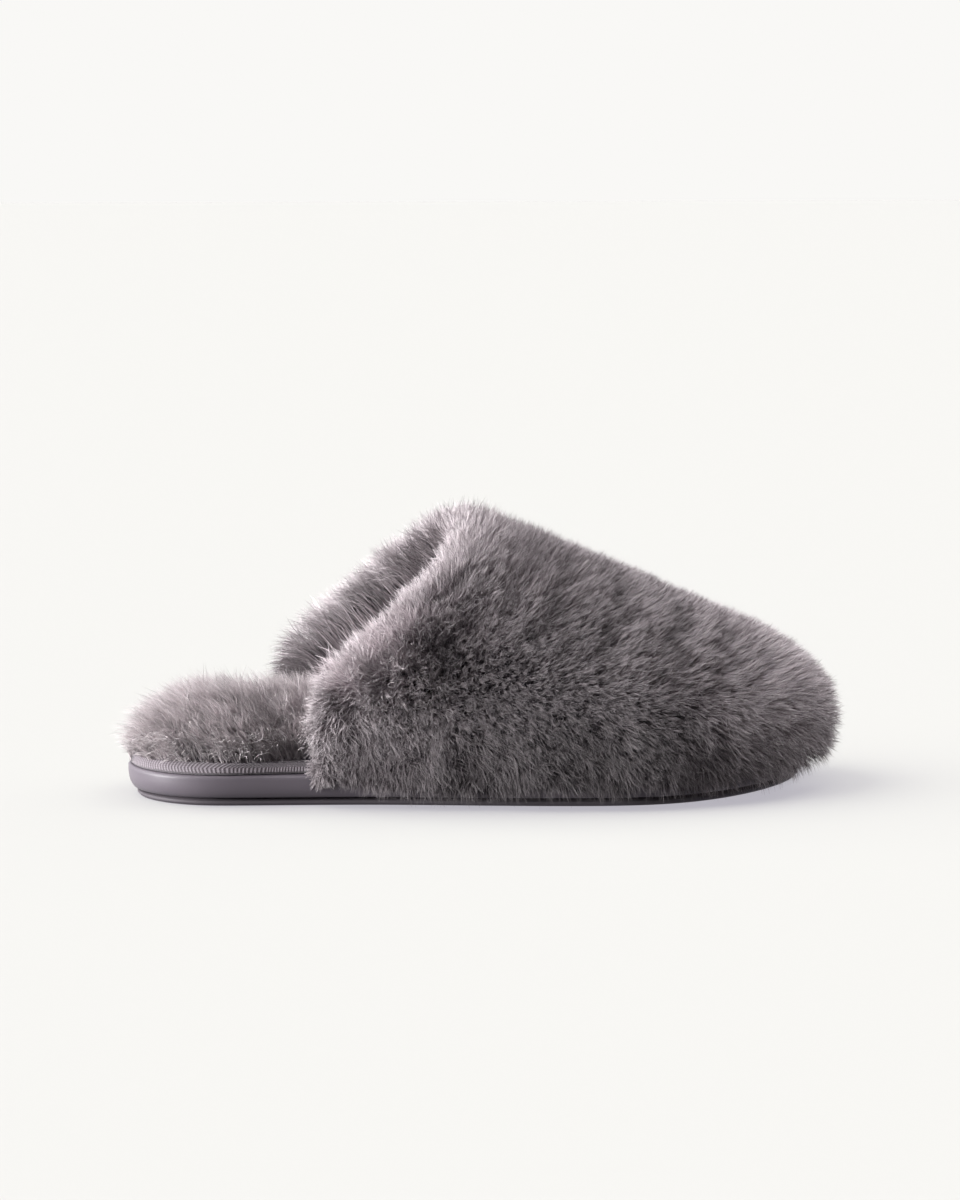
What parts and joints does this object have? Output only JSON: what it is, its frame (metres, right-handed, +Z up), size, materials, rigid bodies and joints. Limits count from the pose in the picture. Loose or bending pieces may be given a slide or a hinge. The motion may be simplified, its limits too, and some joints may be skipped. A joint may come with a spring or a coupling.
{
  "type": "scuff slipper",
  "caption": "Backless slipper for the right foot: deep faux-fur vamp and insole on a low, gently sprung foam and rubber sole.",
  "frame": {"origin": "on the floor, at the middle of the sole's length, on the outsole's flat underside", "axes": "+X from heel to toe, +Y to the inner side of the foot, +Z up"},
  "size_m": [0.2754, 0.1192, 0.1098],
  "materials": {
    "outsole_rubber": "satin",
    "midsole_foam": "satin",
    "footbed_twill": "twill weave",
    "insole_pile": "deep pile",
    "vamp_lining": "brushed lining",
    "vamp_pile": "deep pile"
  },
  "bodies": {
    "root": {"outsole": "outsole_rubber", "midsole": "midsole_foam", "footbed": "footbed_twill", "insole_fur": "insole_pile", "upper": "vamp_lining", "vamp_fur": "vamp_pile"}
  },
  "joints": []
}
